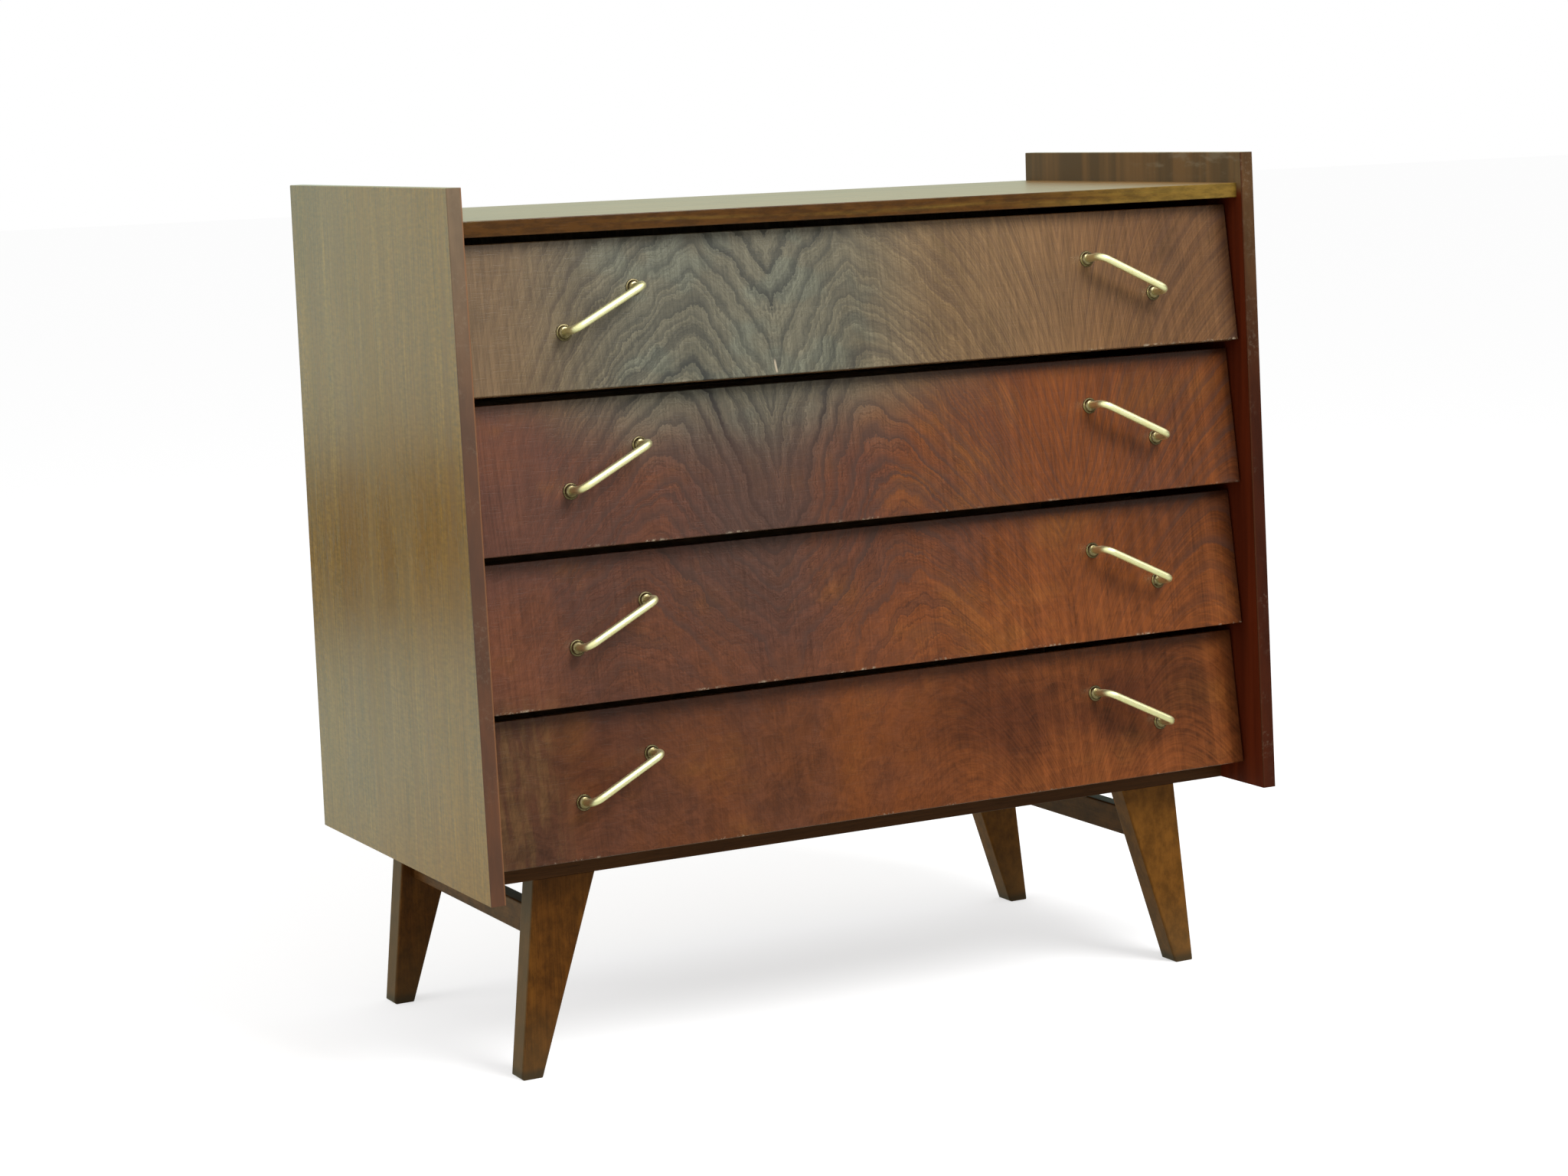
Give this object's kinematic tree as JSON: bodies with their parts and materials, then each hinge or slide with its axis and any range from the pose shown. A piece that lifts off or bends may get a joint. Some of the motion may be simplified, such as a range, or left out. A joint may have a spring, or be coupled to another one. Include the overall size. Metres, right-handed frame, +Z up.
{
  "type": "chest of drawers",
  "caption": "Chest of drawers with leaning fronts between raised side boards, slanted rod handles, and splayed tapered legs tied by side rails.",
  "frame": {"origin": "on the floor, midway across the width and the depth of the whole chest", "axes": "+X to the right as seen from the front, +Y to the back (drawers open towards -Y), +Z up"},
  "size_m": [0.95, 0.466, 0.91],
  "materials": {
    "panel_veneer": "satin lacquered veneer",
    "drawer_veneer": "satin lacquered crown-cut veneer",
    "drawer_box_wood": "plain sanded beech",
    "plywood": "plain plywood",
    "runner_wood": "plain waxed beech",
    "leg_wood": "dark stained, satin",
    "brass": "polished",
    "steel": "plain zinc"
  },
  "bodies": {
    "carcass": {"back_panel": "plywood", "bottom_panel": "panel_veneer", "front_left_leg": "leg_wood", "front_right_leg": "leg_wood", "left_side_panel": "panel_veneer", "left_side_rail": "leg_wood", "rear_left_leg": "leg_wood", "rear_right_leg": "leg_wood", "right_side_panel": "panel_veneer", "right_side_rail": "leg_wood", "runner_left_1": "runner_wood", "runner_left_2": "runner_wood", "runner_left_3": "runner_wood", "runner_left_4": "runner_wood", "runner_right_1": "runner_wood", "runner_right_2": "runner_wood", "runner_right_3": "runner_wood", "runner_right_4": "runner_wood", "top_panel": "panel_veneer"},
    "drawer_1": {"drawer_1_back": "drawer_box_wood", "drawer_1_bottom": "plywood", "drawer_1_front": "drawer_veneer", "drawer_1_left_side": "drawer_box_wood", "drawer_1_right_side": "drawer_box_wood", "handle_left_1": "brass", "handle_right_1": "brass", "handle_rosettes_1": "brass"},
    "drawer_2": {"drawer_2_back": "drawer_box_wood", "drawer_2_bottom": "plywood", "drawer_2_front": "drawer_veneer", "drawer_2_left_side": "drawer_box_wood", "drawer_2_right_side": "drawer_box_wood", "handle_left_2": "brass", "handle_right_2": "brass", "handle_rosettes_2": "brass"},
    "drawer_3": {"drawer_3_back": "drawer_box_wood", "drawer_3_bottom": "plywood", "drawer_3_front": "drawer_veneer", "drawer_3_left_side": "drawer_box_wood", "drawer_3_right_side": "drawer_box_wood", "handle_left_3": "brass", "handle_right_3": "brass", "handle_rosettes_3": "brass"},
    "drawer_4": {"drawer_4_back": "drawer_box_wood", "drawer_4_bottom": "plywood", "drawer_4_front": "drawer_veneer", "drawer_4_left_side": "drawer_box_wood", "drawer_4_right_side": "drawer_box_wood", "handle_left_4": "brass", "handle_right_4": "brass", "handle_rosettes_4": "brass"}
  },
  "joints": [
    {"name": "drawer_1_slide", "type": "slide", "parent": "carcass", "child": "drawer_1", "axis": [0, -1, 0], "range_m": [0, 0.31]},
    {"name": "drawer_2_slide", "type": "slide", "parent": "carcass", "child": "drawer_2", "axis": [0, -1, 0], "range_m": [0, 0.31]},
    {"name": "drawer_3_slide", "type": "slide", "parent": "carcass", "child": "drawer_3", "axis": [0, -1, 0], "range_m": [0, 0.31]},
    {"name": "drawer_4_slide", "type": "slide", "parent": "carcass", "child": "drawer_4", "axis": [0, -1, 0], "range_m": [0, 0.31]}
  ]
}
